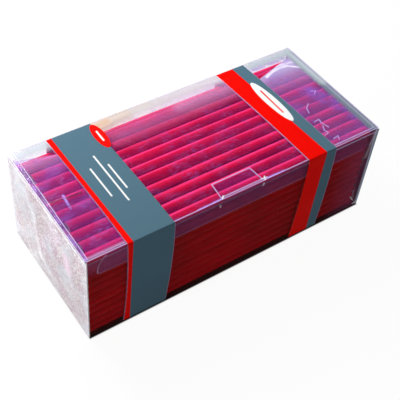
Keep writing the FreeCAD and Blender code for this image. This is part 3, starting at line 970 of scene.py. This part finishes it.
class CARTON_OT_bands(bpy.types.Operator):
    """Dress the two printed bands on the lid, front, back and base"""
    bl_idname = "carton.bands"
    bl_label = "Printed bands"

    def execute(self, context):
        bands = settings_of(context).bands
        for side in ("left", "right"):
            lid_low, lid_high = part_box(f"{side}_band_on_lid")
            front_low, front_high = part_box(f"{side}_band_on_front")
            inner_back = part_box(f"{side}_band_on_back")[0][1]
            inner_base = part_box(f"{side}_band_on_base")[1][2]
            back, front, foot = getattr(bands, f"{side}_split")
            rules = [((x * MM, y * MM, lid_high[2]),
                      (bands.rule_width / 2, half * MM, RULE_DEPTH))
                     for x, y, half in (RULES if side == "left" else ())]
            places = {
                "lid": (((front, lid_low[1], 0), (back, lid_high[1], 0), UP),
                        ((0, 0, lid_low[2] + UNDERSIDE), DOWN)),
                "front": (((foot, 0, front_low[2]), (front, 0, front_high[2]), FRONTWARDS),
                          ((0, front_high[1] - UNDERSIDE, 0), BACKWARDS)),
                "back": (((back, 0, 0), (back, 0, FAR), FRONTWARDS),
                         ((0, inner_back + BACK_UNDERSIDE, 0), FRONTWARDS)),
                "base": (((foot, lid_low[1], 0), (back, lid_high[1], 0), UP),
                         ((0, 0, inner_base - UNDERSIDE), UP)),
                # the fold shows no white, so its inner side is put far behind it
                "fold": (((front, 0, 0), (front, 0, FAR), FRONTWARDS),
                         ((0, FAR, 0), BACKWARDS)),
            }
            for panel, (split, inside) in places.items():
                material = band_material(f"{side} band on {panel}", bands, split, inside,
                                         rules if panel == "lid" else ())
                if panel == "fold":
                    self.fold(bands, side, material)
                else:
                    dress(f"{side}_band_on_{panel}", material)
        return {"FINISHED"}

    def fold(self, bands, side, material):
        """The strip of a band that goes round the lid's front edge."""
        lid_low, lid_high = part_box(f"{side}_band_on_lid")
        front_low, front_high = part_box(f"{side}_band_on_front")
        left, right = getattr(bands, f"{side}_fold")
        radius = bands.fold_radius
        top, face = lid_high[2], front_low[1]
        bend = face + radius        # where the level part ends and the strip starts to turn
        deselect_all()
        bpy.ops.mesh.primitive_plane_add(size=1)
        strip = bpy.context.object
        strip.name = f"{side}_band_fold"
        bpy.context.tool_settings.mesh_select_mode = (False, True, False)
        shape_mesh((right - left, lid_low[1] - bend, 1),
                   ((left + right) / 2, (lid_low[1] + bend) / 2, top))
        for edge in strip.data.edges:
            ends = [strip.data.vertices[number].co for number in edge.vertices]
            edge.select = all(abs(end.y - bend) < 0.001 * MM for end in ends)
        angles = [math.radians(90 * step / FOLD_STEPS) for step in range(FOLD_STEPS + 1)]
        turn = [(bend - radius * math.sin(angle), top - radius + radius * math.cos(angle))
                for angle in angles] + [(face, front_high[2])]
        bpy.ops.object.mode_set(mode="EDIT")
        for (y0, z0), (y1, z1) in zip(turn, turn[1:]):
            bpy.ops.mesh.extrude_region_move(
                TRANSFORM_OT_translate={"value": (0, y1 - y0, z1 - z0)})
        bpy.ops.object.mode_set(mode="OBJECT")
        apply_modifier(strip, "thickness", "SOLIDIFY", thickness=front_high[1] - front_low[1],
                       offset=-1)
        bpy.ops.object.shade_smooth_by_angle(angle=SMOOTH_ANGLE)
        strip.data.materials.append(material)
        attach(strip, "lid")


# ---------------------------------------------------------------- oval patches

def patch_material(name, fill, ink, middle, half_rule):
    """A printed oval with a plain rule along its middle."""
    material, shader, place, _ = new_material(name)
    wear = use("Print wear", place)
    rule = use("Short bar", place, Middle=middle, Half=half_rule)["Mask"]
    colour = mix(times(wear["Mottle"], 0.25), fill, shaded(fill, 0.85))
    feed(shader, {"Base Color": mix(rule, colour, ink), "Specular IOR Level": 0.02,
                  "Roughness": ramp(wear["Mottle"], 0.3, 0.7, 0.3, 0.44),
                  "Normal": bump(wear["Height"], 0.2, 1 * MM)})
    return material


class CARTON_OT_patches(bpy.types.Operator):
    """Dress the two printed ovals on the lid"""
    bl_idname = "carton.patches"
    bl_label = "Oval patches"

    def execute(self, context):
        bands = settings_of(context).bands
        for side, fill, ink, half, slot in (
                ("left", bands.red, bands.white, 7, "red_patch_print"),
                ("right", bands.white, bands.red, 18, "white_patch_print")):
            node = f"{side}_oval_patch"
            middle = tuple((low + high) / 2 for low, high in zip(*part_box(node)))
            material = patch_material(f"{side} oval print", fill, ink, middle,
                                      (bands.rule_width / 2, half * MM, RULE_DEPTH))
            dress(node, material)
        return {"FINISHED"}


# ---------------------------------------------------------------- stage

# each lamp's place, the place that it points at, and its width and height
LAMPS = {"key": ((-0.16, 0.66, 0.62), (0, 0.05, 0.1), (0.45, 0.65)),
         "left": ((-1.2, 0, 0.27), (-0.1, 0, 0.05), (0.8, 0.8)),
         "right": ((1.3, 0, 0.14), (0.1, 0, 0.05), (0.7, 0.25)),
         "front": ((0.1, -1.3, 0.045), (0.1, 0, 0.045), (0.9, 0.08)),
         "back": ((0.67, 1.38, 0.5), (0, 0, 0.1), (0.7, 0.7))}

FLOOR_SIZE = 12.0
FLOOR_DROP = 0.5 * MM                          # keeps the floor clear of the base's face
FOOTPRINT = (153.5 * MM, 69 * MM, 0)           # half sizes of the full shade on the floor
FOOTPRINT_RIM = (0.4 * MM, 2.2 * MM)           # from where to where that shade fades
SENSOR_WIDTH = 36
NEAREST_SEEN = 10 * MM


class CARTON_OT_stage(bpy.types.Operator):
    """Lay the floor, hang the lamps and set up the camera"""
    bl_idname = "carton.stage"
    bl_label = "Stage"

    def execute(self, context):
        stage = settings_of(context).stage
        self.floor(stage)
        self.lamps(stage)
        self.room(context, stage)
        self.camera(context, stage)
        context.scene.view_settings.view_transform = "Standard"
        return {"FINISHED"}

    def floor(self, stage):
        deselect_all()
        bpy.ops.mesh.primitive_plane_add(size=FLOOR_SIZE, location=(0, 0, -FLOOR_DROP))
        floor = bpy.context.object
        floor.name = "floor"
        material, shader, place, _ = new_material("pale floor")
        tree = material.node_tree
        seen = seen_directly(tree)
        pale = mix(times(noise(place, 3.0, 3.0), 0.1), stage.floor, shaded(stage.floor, 0.97))
        away = minus(vector_maths("ABSOLUTE", place), FOOTPRINT)
        outside = ramp(maths("MAXIMUM", *parts_of(away)[:2]), *FOOTPRINT_RIM)
        lit = mix(seen, stage.floor_shade, pale)
        feed(shader, {"Base Color": mix(outside, stage.footprint_shade, lit),
                      "Roughness": 0.9, "Specular IOR Level": 0.0})
        glow = put(tree, "Emission", {"Color": (1, 1, 1, 1), "Strength": 1.0})
        both = put(tree, "MixShader", {0: times(seen, outside, stage.floor_glow),
                                       1: shader.outputs[0], 2: glow.outputs[0]})
        feed(tree.nodes["Material Output"], {"Surface": both.outputs[0]})
        floor.data.materials.append(material)

    def lamps(self, stage):
        for side, (place, aim, size) in LAMPS.items():
            deselect_all()
            bpy.ops.object.light_add(type="AREA", location=place)
            lamp = bpy.context.object
            lamp.name = f"{side} lamp"
            lamp.data.shape = "RECTANGLE"
            lamp.data.size, lamp.data.size_y = size
            lamp.data.energy = getattr(stage, f"{side}_power")
            lamp.rotation_euler = (Vector(place) - Vector(aim)).to_track_quat("Z", "Y").to_euler()

    def room(self, context, stage):
        """A pale room all round, white where it is seen and dim where it lights the carton."""
        world = context.scene.world = bpy.data.worlds.new("pale room")
        world.use_nodes = True
        tree = world.node_tree
        strength = between(seen_directly(tree), stage.ambient, 1.0)
        feed(tree.nodes["Background"], {"Color": (1, 1, 1, 1), "Strength": strength})

    def camera(self, context, stage):
        deselect_all()
        bpy.ops.object.camera_add()
        camera = bpy.context.object
        camera.name = "camera"
        azimuth, elevation, roll = stage.camera_azimuth, stage.camera_elevation, stage.camera_roll
        back = Vector((math.sin(azimuth) * math.cos(elevation),
                       -math.cos(azimuth) * math.cos(elevation), math.sin(elevation)))
        right = Vector(UP).cross(back).normalized()
        up = back.cross(right)
        right, up = (math.cos(roll) * right + math.sin(roll) * up,
                     math.cos(roll) * up - math.sin(roll) * right)
        turn = Matrix((right, up, back)).transposed().to_4x4()
        camera.matrix_world = Matrix.Translation(stage.camera_place) @ turn
        camera.data.lens = stage.lens
        camera.data.sensor_width = SENSOR_WIDTH
        camera.data.clip_start = NEAREST_SEEN
        context.scene.camera = camera


# ---------------------------------------------------------------- panel and registration

class CARTON_PT_panel(bpy.types.Panel):
    """The carton's settings and steps"""
    bl_idname = "CARTON_PT_panel"
    bl_label = "Pencil carton"
    bl_space_type = "VIEW_3D"
    bl_region_type = "UI"
    bl_category = "Pencil carton"

    def draw(self, context):
        settings = settings_of(context)
        for title, group in (("Film", settings.film), ("Pencils", settings.pencils),
                             ("Bands", settings.bands), ("Stage", settings.stage)):
            box = self.layout.box()
            box.label(text=title)
            for name in group.__annotations__:
                box.prop(group, name)
        for step in STEPS:
            self.layout.operator(step.bl_idname)


STEPS = (CARTON_OT_film, CARTON_OT_pencils, CARTON_OT_bands, CARTON_OT_patches, CARTON_OT_stage)
CLASSES = (FilmSettings, PencilSettings, BandSettings, StageSettings, CartonSettings,
           *STEPS, CARTON_PT_panel)


def register():
    for item in CLASSES:
        bpy.utils.register_class(item)
    bpy.types.Scene.pencil_carton = group_property(
        CartonSettings, "Pencil carton", "Settings of the carton")


def unregister():
    del bpy.types.Scene.pencil_carton
    for item in reversed(CLASSES):
        bpy.utils.unregister_class(item)


def main():
    register()
    make_shared_effects()
    bpy.ops.carton.film()
    bpy.ops.carton.pencils()
    bpy.ops.carton.bands()
    bpy.ops.carton.patches()
    bpy.ops.carton.stage()
    bpy.context.view_layer.update()


if __name__ == "__main__":
    main()
